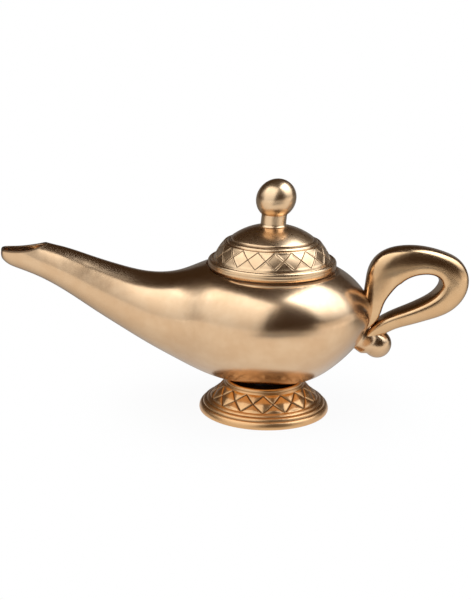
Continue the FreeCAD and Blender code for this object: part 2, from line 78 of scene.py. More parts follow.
# Middle line of the handle from its root to the end of its tail: X, Z, half thickness, half depth.
HANDLE_PATH = (
    (51.47, 45.87, 1.54, 3.7),
    (53.5, 51.42, 4.2, 5.81),
    (55.45, 61.15, 5.55, 7.22),
    (57.91, 68.7, 7.36, 7.74),
    (62.05, 76.32, 9.28, 8.27),
    (71.49, 81.02, 8.06, 8.54),
    (79.72, 81.76, 6.85, 8.54),
    (89.8, 79.45, 6.45, 8.62),
    (94.65, 75.45, 7.35, 8.8),
    (96.12, 70.84, 7.3, 8.8),
    (92.59, 62.34, 6.59, 8.71),
    (81.74, 55.64, 5.12, 8.45),
    (73.0, 52.23, 4.48, 7.92),
    (64.68, 48.98, 4.1, 6.86),
    (58.19, 44.95, 3.71, 5.9),
    (55.4, 42.75, 2.95, 5.4),
    (54.0, 41.55, 2.45, 5.0),
    (52.9, 40.6, 1.9, 4.5),
)
HANDLE_FULLNESS = 0.89
HANDLE_CROWN = 0.25
HANDLE_CROWN_START = -0.7

# Outlines of the turned pieces: radius, height, and the bulge of the arc to the next point.
LID_RIM = (
    (28.45, 76.5), (32.0, 76.5), (32.3, 76.7, 0.15), (33.0, 78.75), (32.75, 79.0),
    (32.8, 79.25, 0.35), (32.25, 81.25), (31.6, 81.45), (30.75, 80.85), (30.3, 80.9),
)
LID_BAND = ((30.3, 80.9), (24.7, 90.2))
LID_BAND_BULGE = 0.6
LID_LATTICE = (0.12, 0.965)
LID_CAP = (
    (24.7, 90.2), (24.35, 90.25), (23.45, 89.55), (23.3, 89.6, 0.75), (21.55, 91.35),
    (21.25, 91.2), (21.15, 92.3, 0.75), (8.4, 98.1), (7.2, 98.28), (2.3, 98.29),
)
LID_INSIDE = (
    (2.3, 98.29), (2.3, 96.3), (8.4, 96.2, -0.7), (20.7, 89.6, -0.6), (28.45, 80.6),
    (28.45, 76.5),
)
FOOT_BEADS = (
    (32.45, 0.32), (33.6, 0.32, 0.8), (32.35, 4.0), (31.95, 4.22), (31.9, 4.4, 0.45),
    (30.5, 5.62), (30.12, 5.7), (30.0, 5.9, 0.08), (28.75, 7.0), (28.3, 7.0),
)
FOOT_CONE = ((28.3, 7.0), (20.9, 14.4))
FOOT_LATTICE = (0.03, 0.97)
FOOT_LIP = (
    (20.9, 14.4), (20.7, 15.15), (20.35, 15.35), (20.2, 15.5, 0.38), (19.4, 17.0),
    (18.7, 17.05),
)
FOOT_SEAT = ((18.7, 17.05), (18.5, 15.42), (2.75, 15.42))
FOOT_INSIDE = (
    (2.75, 15.42), (2.75, 13.22), (16.5, 13.22), (26.2, 4.8), (26.2, 1.42), (32.45, 1.42),
    (32.45, 0.32),
)
KNOB_OUTLINE = (
    (2.05, 98.32), (7.15, 98.32), (7.05, 98.8), (6.55, 99.2), (6.45, 100.0), (6.45, 103.9),
    (6.55, 104.3),
)
KNOB_CENTRE_Z = 112.3
KNOB_RADIUS = 10.18
KNOB_LEAN = 0.09

BALL_CENTRE = (58.3, 36.6)
BALL_RADIUS = 7.38
BALL_AXIS_ANGLE = 149.0
BALL_WEB = (7.15, 4.3)
BALL_WEB_SAG = 1.0
BALL_WEB_LENGTH = 13.5

# Camera of the photograph: what it looks at, in millimetres, and its angles in degrees.
CAMERA_TARGET = (-15.8, 0.0, 58.8)
CAMERA_DISTANCE = 652.7
CAMERA_ELEVATION = 15.7
CAMERA_ROLL = 1.0
CAMERA_LENS = 75.9
CAMERA_SENSOR = 36.0

# Soft lights: name, azimuth from the front to the right, elevation, distance, width, height in
# metres, lean in degrees, tint, radiance along the lower and the upper edge, and the shares of the
# width and of the height over which the sides and the top fade.
COOL, COOLER, WHITE = (0.87, 0.93, 1.0), (0.79, 0.88, 1.0), (1.0, 1.0, 1.0)
LIGHTS = (
    ("softbox_left", -49.5, 34.5, 0.85, 1.36, 1.52, 9.0, COOL, 0.67, 2.36, 0.16, 0.06),
    ("softbox_right", 86.0, 43.5, 0.85, 0.96, 1.16, -18.0, COOLER, 0.20, 6.80, 0.22, 0.14),
    ("reflector_side", -98.0, 36.0, 1.00, 0.40, 0.75, 0.0, COOL, 0.75, 0.70, 0.20, 0.20),
    ("reflector_right", 76.0, 4.0, 1.00, 1.30, 0.26, 0.0, WHITE, 0.85, 0.85, 0.15, 0.10),
)
LIGHT_AIM = (0.0, 0.0, 0.06)
# Grey sheet on the floor before the lamp, hidden from the camera: its middle, its width and its
# depth in metres.
FLAG = (0.09, -0.435, 0.42, 0.37)
# Floor and backdrop in metres: half width, front edge, rear edge, radius of the cove and height.
FLOOR = (3.0, -0.62, 2.6, 0.3, 0.75)
# Distances from the middle over which the shadow on the floor fades, in metres.
SHADOW_FADE = (0.033, 0.11)
# What reflections see of the floor: places along Y in metres, and the levels there.
FLOOR_GLOW = (-0.09, 0.13, 1.04, 0.20)
# Slopes of a view between which the room goes over to the pale ground.
HORIZON_FADE = (0.02, -0.14)

# Ring that carries the recess of the mouth, in metres: how far it passes the recess and the bore,
# its depth and how far it stands up; then the heights of the bore below and above the floor.
MOUTH_LAND = (0.0008, 0.0022, 0.0004)
MOUTH_BORE = (0.012, 0.01)
# Weight and roughness of the lacquer, and the depth of the casting's waves in metres.
LACQUER = (0.22, 0.25)
CAST_DEPTH = 0.00032
# Height below which the bowl's colour goes over to a painted orange glow of light bounced up
# from the foot, and the height over which it sets in.
PAINTED_GLOW_TOP, PAINTED_GLOW_FADE = 0.0255, 0.007

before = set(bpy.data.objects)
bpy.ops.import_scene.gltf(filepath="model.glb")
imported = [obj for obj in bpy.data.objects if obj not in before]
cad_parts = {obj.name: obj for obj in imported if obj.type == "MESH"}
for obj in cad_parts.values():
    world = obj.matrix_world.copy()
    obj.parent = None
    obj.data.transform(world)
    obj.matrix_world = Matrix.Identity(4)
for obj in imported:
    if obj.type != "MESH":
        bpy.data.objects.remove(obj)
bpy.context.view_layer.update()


class LampSizes(bpy.types.PropertyGroup):
    """Sizes of the ornament, of the nozzle's edge and of the mouth"""

    lid_diamonds: bpy.props.IntProperty(
        name="Lid diamonds", description="Diamonds round the lid's band", default=19, min=6, max=40)
    foot_diamonds: bpy.props.IntProperty(
        name="Foot diamonds", description="Diamonds round the foot", default=15, min=6, max=40)
    lid_groove_depth: bpy.props.FloatProperty(
        name="Lid groove depth", description="Depth of the lines between the lid's diamonds",
        default=0.00036, unit="LENGTH")
    lid_groove_width: bpy.props.FloatProperty(
        name="Lid groove width", description="Half width of those lines", default=0.00034,
        unit="LENGTH")
    foot_groove_depth: bpy.props.FloatProperty(
        name="Foot groove depth", description="Depth of the lines between the foot's diamonds",
        default=0.00045, unit="LENGTH")
    foot_groove_width: bpy.props.FloatProperty(
        name="Foot groove width", description="Half width of those lines", default=0.00045,
        unit="LENGTH")
    foot_pillow: bpy.props.FloatProperty(
        name="Foot pillow", description="How far the foot's diamonds rise", default=0.0006,
        unit="LENGTH")
    rim_radius: bpy.props.FloatProperty(
        name="Nozzle edge radius", description="Rounding of the nozzle's rim", default=0.00055,
        unit="LENGTH")
    recess_radius: bpy.props.FloatProperty(
        name="Mouth recess radius", description="Radius of the step that the lid's rim lies in",
        default=0.0338, unit="LENGTH")
    recess_floor: bpy.props.FloatProperty(
        name="Mouth recess height", description="Height of that step's floor", default=0.0753,
        unit="LENGTH")
    bore_radius: bpy.props.FloatProperty(
        name="Mouth bore radius", description="Radius of the hole for the collar", default=0.0308,
        unit="LENGTH")


class LampFinish(bpy.types.PropertyGroup):
    """Colours and gloss of the lamp"""

    brass: bpy.props.FloatVectorProperty(
        name="Brass", description="Colour of the satin brass", subtype="COLOR", size=3, min=0.0,
        max=1.0, default=(0.71, 0.484, 0.288))
    brass_deep: bpy.props.FloatVectorProperty(
        name="Deep brass", description="Colour of its darker clouds", subtype="COLOR", size=3,
        min=0.0, max=1.0, default=(0.67, 0.436, 0.246))
    # Painted glow: orange that stands in for light bounced from the foot onto the bowl's underside.
    painted_glow: bpy.props.FloatVectorProperty(
        name="Pooled lacquer", description="Colour of the lacquer pooled under the bowl",
        subtype="COLOR", size=3, min=0.0, max=1.0, default=(0.98, 0.54, 0.16))
    # Patina of the grooves, also used as painted shade on the foot's seat and the nozzle's rim.
    patina_and_shade: bpy.props.FloatVectorProperty(
        name="Patina", description="Colour that stays in the grooves", subtype="COLOR", size=3,
        min=0.0, max=1.0, default=(0.10, 0.048, 0.02))
    steel: bpy.props.FloatVectorProperty(
        name="Steel", description="Colour of screws and nuts", subtype="COLOR", size=3, min=0.0,
        max=1.0, default=(0.50, 0.50, 0.51))
    rubber: bpy.props.FloatVectorProperty(
        name="Rubber", description="Colour of the gasket", subtype="COLOR", size=3, min=0.0,
        max=1.0, default=(0.035, 0.035, 0.037))
    cork: bpy.props.FloatVectorProperty(
        name="Cork", description="Colour of the seal under the lid", subtype="COLOR", size=3,
        min=0.0, max=1.0, default=(0.30, 0.18, 0.09))
    felt: bpy.props.FloatVectorProperty(
        name="Felt", description="Colour of the felt under the foot", subtype="COLOR", size=3,
        min=0.0, max=1.0, default=(0.03, 0.05, 0.035))
    roughness: bpy.props.FloatProperty(
        name="Roughness", description="Roughness of the satin brass", default=0.23, min=0.0,
        max=1.0)


class LampStudio(bpy.types.PropertyGroup):
    """Light and floor"""

    floor_colour: bpy.props.FloatVectorProperty(
        name="Floor", description="Colour of floor and backdrop", subtype="COLOR", size=3, min=0.0,
        max=1.0, default=(0.80, 0.80, 0.80))
    shadow_share: bpy.props.FloatProperty(
        name="Shadow", description="How much of the floor's shadow the camera sees", default=0.06,
        min=0.0, max=1.0)
    dark_room: bpy.props.FloatVectorProperty(
        name="Dark room", description="Colour of the room round the lights", subtype="COLOR",
        size=3, min=0.0, max=1.0, default=(0.044, 0.024, 0.009))
    light_level: bpy.props.FloatProperty(
        name="Light level", description="Multiplies every light", default=1.0, min=0.0, max=4.0)


def spline_through(rows, places):
    """Smooth rows at places from 0 to 1 along the line that runs through the given rows."""
    points = np.array(rows, float)
    steps = np.linalg.norm(np.diff(points[:, :5], axis=0), axis=1)
    knots = np.concatenate(([0.0], np.cumsum(steps)))
    count = len(knots)
    matrix = np.zeros((count, count))
    right = np.zeros_like(points)
    matrix[0, 0] = matrix[-1, -1] = 1.0
    for i in range(1, count - 1):
        before, after = steps[i - 1], steps[i]
        matrix[i, i - 1:i + 2] = (before, 2 * (before + after), after)
        slopes = (points[i + 1] - points[i]) / after - (points[i] - points[i - 1]) / before
        right[i] = 6 * slopes
    bends = np.linalg.solve(matrix, right)
    found = []
    for place in places:
        t = place * knots[-1]
        i = min(int(np.searchsorted(knots, t, side="right")) - 1, count - 2)
        h = steps[i]
        a, b = (knots[i + 1] - t) / h, (t - knots[i]) / h
        curve = (a ** 3 - a) * bends[i] + (b ** 3 - b) * bends[i + 1]
        found.append(a * points[i] + b * points[i + 1] + curve * h * h / 6)
    return found


def outline(points, step=0.3, passes=2):
    """Closely spaced points along straights and arcs, with softened corners, in millimetres."""
    line = []
    for i in range(len(points) - 1):
        start, end = Vector(points[i][:2]), Vector(points[i + 1][:2])
        bulge = points[i][2] if len(points[i]) > 2 else 0.0
        chord = end - start
        side = Vector((chord.y, -chord.x)).normalized()
        count = max(1, round(chord.length / step), 10 if abs(bulge) > 0.3 * chord.length else 1)
        for k in range(count):
            t = k / count
            if abs(bulge) > 0.18 * chord.length:
                turn = math.pi * t
                spot = start + chord * (1 - math.cos(turn)) / 2 + side * bulge * math.sin(turn)
            else:
                spot = start + chord * t + side * bulge * 4 * t * (1 - t)
            line.append(spot)
    line.append(Vector(points[-1][:2]))
    for _ in range(passes):
        softened = [(line[i - 1] + line[i] * 2 + line[i + 1]) / 4 for i in range(1, len(line) - 1)]
        line = [line[0]] + softened + [line[-1]]
    return line


def sheet(bm, columns, rows, place, half=0):
    """Grid whose corners go where place(x, y) says, both from -1 to 1; half keeps one side of
    its diagonal."""
    made = bmesh.ops.create_grid(bm, x_segments=columns, y_segments=rows, size=1.0)["verts"]
    if half:
        faces = list({face for vertex in made for face in vertex.link_faces})
        edges = list({edge for vertex in made for edge in vertex.link_edges})
        cut = bmesh.ops.bisect_plane(
            bm, geom=made + edges + faces, dist=1e-5, plane_co=(0, 0, 0),
            plane_no=(half, -half, 0), clear_outer=True)
        kept = [item for item in cut["geom"] if isinstance(item, bmesh.types.BMVert)]
        kept += [item for item in cut["geom_cut"] if isinstance(item, bmesh.types.BMVert)]
        made = list({vertex for vertex in kept if vertex.is_valid})
    for vertex in made:
        vertex.co = place(vertex.co.x, vertex.co.y)
    return made


def weld(bm):
    bmesh.ops.remove_doubles(bm, verts=bm.verts[:], dist=WELD)


def close_ends(bm):
    """Welds the seam and fills the open ends."""
    weld(bm)
    bmesh.ops.holes_fill(bm, edges=[edge for edge in bm.edges if edge.is_boundary], sides=0)


def new_object(name, bm):
    """Object in the scene that takes over the mesh."""
    mesh = bpy.data.meshes.new(name)
    bm.to_mesh(mesh)
    bm.free()
    made = bpy.data.objects.new(name, mesh)
    bpy.context.scene.collection.objects.link(made)
    return made


def finished(bm, name, body, material, nodes):
    """Object from the mesh, riding on its body and standing for its nodes."""
    weld(bm)
    bmesh.ops.dissolve_degenerate(bm, edges=bm.edges[:], dist=WELD)
    bmesh.ops.recalc_face_normals(bm, faces=bm.faces[:])
    for face in bm.faces:
        face.smooth = True
    piece = new_object(name, bm)
    piece.data.materials.append(material)
    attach(piece, body)
    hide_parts(*nodes)
    return piece


def settle(piece):
    """Makes the piece's modifiers real."""
    bpy.context.view_layer.update()
    graph = bpy.context.evaluated_depsgraph_get()
    mesh = bpy.data.meshes.new_from_object(piece.evaluated_get(graph))
    old = piece.data
    piece.modifiers.clear()
    piece.data = mesh
    mesh.name = piece.name
    bpy.data.meshes.remove(old)


def turned(bm, verts, steps):
    """Full turn of a line of vertices about the bowl's axis."""
    edges = [bm.edges.new(pair) for pair in zip(verts, verts[1:])]
    bmesh.ops.spin(
        bm, geom=verts + edges, cent=(BOWL_X * MM, 0, 0), axis=(0, 0, 1), angle=math.tau,
        steps=steps, use_merge=True)


# Node groups and materials

def node_group(name, inputs, outputs):
    tree = bpy.data.node_groups.new(name, "ShaderNodeTree")
    for label, kind, default in inputs:
        socket = tree.interface.new_socket(name=label, in_out="INPUT", socket_type=kind)
        socket.default_value = default
    for label, kind in outputs:
        tree.interface.new_socket(name=label, in_out="OUTPUT", socket_type=kind)
    return tree, tree.nodes.new("NodeGroupInput"), tree.nodes.new("NodeGroupOutput")


def noise(tree, coordinates, scale, detail=2.0, roughness=0.5):
    node = tree.nodes.new("ShaderNodeTexNoise")
    node.inputs["Scale"].default_value = scale
    node.inputs["Detail"].default_value = detail
    node.inputs["Roughness"].default_value = roughness
    tree.links.new(coordinates, node.inputs["Vector"])
    return node.outputs["Fac"]


def maths(tree, operation, first, second):
    node = tree.nodes.new("ShaderNodeMath")
    node.operation = operation
    for socket, value in zip(node.inputs, (first, second)):
        if isinstance(value, (int, float)):
            socket.default_value = value
        else:
            tree.links.new(value, socket)
    return node.outputs[0]


def mixed(tree, factor, first, second):
    node = tree.nodes.new("ShaderNodeMix")
    node.data_type = "RGBA"
    for name, value in (("Factor", factor), ("A", first), ("B", second)):
        socket = next(s for s in node.inputs if s.name == name and s.enabled)
        if isinstance(value, tuple):
            socket.default_value = value
        else:
            tree.links.new(value, socket)
    return next(s for s in node.outputs if s.enabled)


def map_range(tree, value, start, end, low=0.0, high=1.0, smooth=True):
    """Low at the start value and high at the end value, softened or straight between them."""
    node = tree.nodes.new("ShaderNodeMapRange")
    node.interpolation_type = "SMOOTHSTEP" if smooth else "LINEAR"
    tree.links.new(value, node.inputs["Value"])
    for name, number in zip(("From Min", "From Max", "To Min", "To Max"), (start, end, low, high)):
        node.inputs[name].default_value = number
    return node.outputs["Result"]


def component(tree, vector, axis):
    node = tree.nodes.new("ShaderNodeSeparateXYZ")
    tree.links.new(vector, node.inputs["Vector"])
    return node.outputs[axis]


def mirrored_rays(tree, path):
    """One for reflected and for refracted rays, and zero for the rest."""
    return maths(tree, "ADD", path.outputs["Is Glossy Ray"], path.outputs["Is Transmission Ray"])


def mixed_shader(tree, factor, first, second, output):
    node = tree.nodes.new("ShaderNodeMixShader")
    for socket, source in zip(node.inputs, (factor, first, second)):
        tree.links.new(source, socket)
    tree.links.new(node.outputs["Shader"], tree.nodes[output].inputs["Surface"])


def opaque(colour, tint=(1.0, 1.0, 1.0)):
    """The four channels of a colour that a tint scales."""
    return tuple(min(1.0, t * c) for t, c in zip(tint, colour)) + (1.0,)


def cast_surface_group():
    """Height of the casting's soft waves and of its satin grain."""
    tree, given, result = node_group("Cast surface", (
        ("Vector", "NodeSocketVector", (0.0, 0.0, 0.0)),
        ("Waves", "NodeSocketFloat", 1.0),
        ("Grain", "NodeSocketFloat", 1.0),
    ), (("Height", "NodeSocketFloat"), ("Clouds", "NodeSocketFloat")))
    place = given.outputs["Vector"]
    waves, dents = noise(tree, place, 55.0, 1.0), noise(tree, place, 160.0, 2.0)
    grain = noise(tree, place, 2600.0, 2.0)
    uneven = maths(tree, "ADD", waves, maths(tree, "MULTIPLY", dents, 0.22))
    height = maths(tree, "MULTIPLY", uneven, given.outputs["Waves"])
    fine = maths(tree, "MULTIPLY", maths(tree, "MULTIPLY", grain, 0.007), given.outputs["Grain"])
    tree.links.new(maths(tree, "ADD", height, fine), result.inputs["Height"])
    tree.links.new(noise(tree, place, 90.0, 4.0, 0.6), result.inputs["Clouds"])
    return tree


def patina_and_shade_group():
    """Colour with darker clouds, with patina in its grooves, and with painted shade on places
    marked like them.
    """
    tree, given, result = node_group("Patina", (
        ("Bright", "NodeSocketColor", (0.66, 0.42, 0.24, 1.0)),
        ("Deep", "NodeSocketColor", (0.6, 0.36, 0.2, 1.0)),
        ("Patina", "NodeSocketColor", (0.1, 0.05, 0.02, 1.0)),
        ("Clouds", "NodeSocketFloat", 0.5),
        ("Groove", "NodeSocketFloat", 0.0),
    ), (("Colour", "NodeSocketColor"), ("Roughness", "NodeSocketFloat")))
    spread = maths(tree, "MULTIPLY", maths(tree, "SUBTRACT", given.outputs["Clouds"], 0.38), 3.6)
    spread.node.use_clamp = True
    metal = mixed(tree, spread, given.outputs["Deep"], given.outputs["Bright"])
    # Share of patina and of painted shade, read from the marks.
    patina_and_shade_share = maths(tree, "MULTIPLY", given.outputs["Groove"], 0.85)
    tree.links.new(mixed(tree, patina_and_shade_share, metal, given.outputs["Patina"]), result.inputs["Colour"])
    rough = maths(tree, "MULTIPLY", maths(tree, "SUBTRACT", 0.5, given.outputs["Clouds"]), 0.12)
    rougher = maths(tree, "MULTIPLY", given.outputs["Groove"], 0.2)
    tree.links.new(maths(tree, "ADD", rough, rougher), result.inputs["Roughness"])
    return tree


def fibre_group():
    """Mottled height and shade of felt, cork and rubber."""
    tree, given, result = node_group("Fibre", (
        ("Vector", "NodeSocketVector", (0.0, 0.0, 0.0)),
        ("Size", "NodeSocketFloat", 1200.0),
    ), (("Height", "NodeSocketFloat"), ("Shade", "NodeSocketFloat")))
    fibres = noise(tree, given.outputs["Vector"], 1.0, 4.0)
    tree.links.new(given.outputs["Size"], fibres.node.inputs["Scale"])
    tree.links.new(fibres, result.inputs["Height"])
    tree.links.new(noise(tree, given.outputs["Vector"], 300.0, 3.0), result.inputs["Shade"])
    return tree


def shared_group(name, build):
    return bpy.data.node_groups.get(name) or build()


def new_material(name):
    material = bpy.data.materials.new(name)
    material.use_nodes = True
    tree = material.node_tree
    shader = tree.nodes["Principled BSDF"]
    place = tree.nodes.new("ShaderNodeTexCoord").outputs["Object"]
    return material, tree, shader, place


def matt_material(name, colour):
    """Plain matt material of floor or flag, given out like new_material's."""
    made = new_material(name)
    shader = made[2]
    shader.inputs["Base Color"].default_value = opaque(colour)
    shader.inputs["Roughness"].default_value = 0.9
    shader.inputs["Specular IOR Level"].default_value = 0.0
    return made


def bump(tree, shader, height, strength, distance):
    node = tree.nodes.new("ShaderNodeBump")
    node.inputs["Strength"].default_value = strength
    node.inputs["Distance"].default_value = distance
    tree.links.new(height, node.inputs["Height"])
    tree.links.new(node.outputs["Normal"], shader.inputs["Normal"])


def group_node(tree, group, links=(), values=()):
    node = tree.nodes.new("ShaderNodeGroup")
    node.node_tree = group
    for name, source in links:
        tree.links.new(source, node.inputs[name])
    for name, value in values:
        node.inputs[name].default_value = value
    return node


def brass(name, tint=(1.0, 1.0, 1.0), rougher=0.0, waves=1.0, grain=1.0, patina_and_shade_marks=False,
          painted_glow_below=0.0):
    """Satin brass of one piece: tint scales its colour, rougher adds to its roughness, and below
    the height of painted_glow_below, in metres, the colour goes over to a painted orange glow that
    stands in for light bounced from the foot."""
    if name in bpy.data.materials:
        return bpy.data.materials[name]
    finish = bpy.context.scene.lamp_finish
    material, tree, shader, place = new_material(name)
    surface = group_node(
        tree, shared_group("Cast surface", cast_surface_group), [("Vector", place)],
        [("Waves", waves), ("Grain", grain)])
    links = [("Clouds", surface.outputs["Clouds"])]
    if patina_and_shade_marks:
        groove = tree.nodes.new("ShaderNodeAttribute")
        groove.attribute_name = "groove"
        links.append(("Groove", groove.outputs["Fac"]))
    colour = group_node(
        tree, shared_group("Patina", patina_and_shade_group), links,
        [("Bright", opaque(finish.brass, tint)), ("Deep", opaque(finish.brass_deep, tint)),
         ("Patina", opaque(finish.patina_and_shade))])
    metal = colour.outputs["Colour"]
    # Painted glow of bounced light under the bowl.
    if painted_glow_below:
        painted_glow_mask = map_range(
            tree, component(tree, place, "Z"), painted_glow_below, painted_glow_below - PAINTED_GLOW_FADE)
        metal = mixed(tree, painted_glow_mask, metal, opaque(finish.painted_glow))
    tree.links.new(metal, shader.inputs["Base Color"])
    roughness = maths(tree, "ADD", colour.outputs["Roughness"], finish.roughness + rougher)
    tree.links.new(roughness, shader.inputs["Roughness"])
    shader.inputs["Metallic"].default_value = 1.0
    for label, value in zip(("Coat Weight", "Coat Roughness"), LACQUER):
        shader.inputs[label].default_value = value
    bump(tree, shader, surface.outputs["Height"], 1.0, CAST_DEPTH)
    return material


def steel():
    """Turned steel of the screws and nuts, with a fine grain."""
    if "turned_steel" in bpy.data.materials:
        return bpy.data.materials["turned_steel"]
    material, tree, shader, place = new_material("turned_steel")
    surface = group_node(
        tree, shared_group("Cast surface", cast_surface_group), [("Vector", place)],
        [("Waves", 0.1), ("Grain", 2.0)])
    clouds, colour = surface.outputs["Clouds"], bpy.context.scene.lamp_finish.steel
    metal = mixed(tree, clouds, opaque(colour), opaque(colour, (0.7, 0.7, 0.7)))
    tree.links.new(metal, shader.inputs["Base Color"])
    shader.inputs["Metallic"].default_value = 1.0
    rough = maths(tree, "ADD", maths(tree, "MULTIPLY", clouds, 0.2), 0.22)
    tree.links.new(rough, shader.inputs["Roughness"])
    bump(tree, shader, surface.outputs["Height"], 0.5, 0.0002)
    return material


def soft(name, colour, size, depth, roughness, sheen=0.0):
    """Felt, cork or rubber: a mottled colour with a fine raised grain."""
    if name in bpy.data.materials:
        return bpy.data.materials[name]
    material, tree, shader, place = new_material(name)
    surface = group_node(
        tree, shared_group("Fibre", fibre_group), [("Vector", place)], [("Size", size)])
    dark, light = opaque(colour, (0.65, 0.65, 0.65)), opaque(colour, (1.35, 1.35, 1.35))
    tree.links.new(mixed(tree, surface.outputs["Shade"], dark, light), shader.inputs["Base Color"])
    shader.inputs["Roughness"].default_value = roughness
    shader.inputs["Sheen Weight"].default_value = sheen
    bump(tree, shader, surface.outputs["Height"], 0.8, depth)
    return material


# Forms of the body and the handle

def quarter_point(start, corner, end, fullness, t):
    """Point of a rounded quarter that is drawn towards its corner."""
    near = start + (corner - start) * fullness
    far = end + (corner - end) * fullness
    s = 1 - t
    return start * s ** 3 + near * 3 * s * s * t + far * 3 * s * t * t + end * t ** 3


def section_point(row, u):
    """Front half of a section of the body: u is 0 at the top, 1 at the widest, 2 at the bottom."""
    _, top, bottom, widest, width, above, below, _ = row
    side = Vector((-width, widest))
    if u <= 1:
        return quarter_point(Vector((0, top)), Vector((-width, top)), side, above, u)
    return quarter_point(side, Vector((-width, bottom)), Vector((0, bottom)), below, u - 1)


def rim_height(x):
    """Height of the nozzle's rim at a place along X."""
    (ax, az), (bx, bz), (cx, cz) = NOZZLE_RIM
    double = 2 * (ax * (bz - cz) + bx * (cz - az) + cx * (az - bz))
    a2, b2, c2 = ax * ax + az * az, bx * bx + bz * bz, cx * cx + cz * cz
    middle_x = (a2 * (bz - cz) + b2 * (cz - az) + c2 * (az - bz)) / double
    middle_z = (a2 * (cx - bx) + b2 * (ax - cx) + c2 * (bx - ax)) / double
    reach = math.hypot(ax - middle_x, az - middle_z)
    return middle_z - math.sqrt(reach * reach - (x - middle_x) ** 2)


def rim_turn(row):
    """Where a section leaves the nozzle's open top, as u of section_point."""
    x, top = row[0], row[1]
    if x > NOZZLE_RIM[2][0] or top <= rim_height(x):
        return 0.0
    low, high = 0.0, 1.0
    for _ in range(30):
        middle = (low + high) / 2
        if section_point(row, middle).y > rim_height(x):
            low = middle
        else:
            high = middle
    return high


def body_skin(bm):
    """Outer skin of bowl and spout, open along the nozzle."""
    columns, around, crowding = 200, 54, 1.4
    rows = spline_through(
        BODY_SECTIONS, [(i / columns) ** crowding for i in range(columns + 1)])
    starts = [rim_turn(row) for row in rows]

    def place(x, y):
        i = round((x + 1) / 2 * columns)
        u = starts[i] + (2 - starts[i]) * (y + 1) / 2
        spot = section_point(rows[i], u)
        return Vector((rows[i][0], min(spot.x, 0.0), spot.y)) * MM

    sheet(bm, columns, around, place)
    weld(bm)
    bmesh.ops.mirror(
        bm, geom=bm.verts[:] + bm.edges[:] + bm.faces[:], matrix=Matrix.Identity(4),
        merge_dist=WELD, axis="Y")


def cylinder(name, radius, low, high, hole=0.0):
    """Tool body on the bowl's axis for cutting or adding, in metres; a hole makes it a ring."""
    bm = bmesh.new()
    points = [(hole, low), (radius, low), (radius, high), (hole, high)]
    if hole:
        points.append(points[0])
    turned(bm, [bm.verts.new((BOWL_X * MM + r, 0, z)) for r, z in points], 160)
    weld(bm)
    bmesh.ops.recalc_face_normals(bm, faces=bm.faces[:])
    return new_object(name, bm)


def carve(piece, tools):
    """Adds or cuts each tool body in turn, and removes the tools."""
    for tool, operation in tools:
        modifier = piece.modifiers.new(tool.name, "BOOLEAN")
        modifier.operation = operation
        modifier.solver = "EXACT"
        modifier.object = tool
    settle(piece)
    for tool, _ in tools:
        mesh = tool.data
        bpy.data.objects.remove(tool)
        bpy.data.meshes.remove(mesh)


def handle_skin(bm):
    """Loop of the handle: rounded edges and slightly crowned cheeks."""
    columns, around = 260, 64
    places = [i / columns for i in range(columns + 1)]
    rows = spline_through(HANDLE_PATH, places)

    def place(x, y):
        i = round((x + 1) / 2 * columns)
        cx, cz, thick, deep = rows[i]
        before, after = rows[max(i - 1, 0)], rows[min(i + 1, columns)]
        along = Vector((after[0] - before[0], after[1] - before[1])).normalized()
        turn = (y + 1) * 2
        part = int(turn) % 4
        corners = ((1, 0), (0, 1), (-1, 0), (0, -1), (1, 0))
        start, end = Vector(corners[part]), Vector(corners[part + 1])
        spot = quarter_point(start, start + end, end, HANDLE_FULLNESS, turn - int(turn))
        slope = max(0.0, spot.x - HANDLE_CROWN_START) / (1 - HANDLE_CROWN_START)
        across, depth = spot.x * thick, spot.y * (1 - HANDLE_CROWN * slope ** 2) * deep
        return Vector((cx - along.y * across, depth, cz + along.x * across)) * MM

    sheet(bm, columns, around, place)
    close_ends(bm)


def ball_skin(bm):
    """Ball with the flat web that runs into the bowl."""
    turn = math.radians(BALL_AXIS_ANGLE)
    axis = Vector((math.cos(turn), 0, math.sin(turn)))
    side = Vector((0, 1, 0))
    down = axis.cross(side)
    centre = Vector((BALL_CENTRE[0], 0, BALL_CENTRE[1]))
    half_height, half_depth = BALL_WEB
    meet = math.acos(half_height / BALL_RADIUS)
    stations = []
    steps = 40
    for k in range(steps + 1):
        turn = -math.pi / 2 + (meet + math.pi / 2) * k / steps
        radius = BALL_RADIUS * math.cos(turn)
        stations.append((BALL_RADIUS * math.sin(turn), radius, radius, 0.0))
    start = stations[-1][0]
    for k in range(1, 13):
        t = k / 12
        narrow = half_height + (half_depth - half_height) * smooth_rise(t * 1.5)
        sag = BALL_WEB_SAG * smooth_rise(t * 3.2) * (1 - 0.5 * t)
        stations.append((start + (BALL_WEB_LENGTH - start) * t, half_height + sag, narrow, sag))
    count = len(stations) - 1

    def place(x, y):
        along, high, deep, sag = stations[round((x + 1) / 2 * count)]
        turn = math.pi * (y + 1)
        spot = centre + axis * along + down * (high * math.cos(turn) + sag)
        return (spot + side * deep * math.sin(turn)) * MM

    sheet(bm, count, 72, place)
    close_ends(bm)


# Turned pieces with a lattice

def crowded(x):
    """Places from -1 to 1 that lie closer together towards both ends."""
    return math.sin(math.pi / 2 * x)


def smooth_rise(x):
    x = min(1.0, max(0.0, x))
    return x * x * (3 - 2 * x)


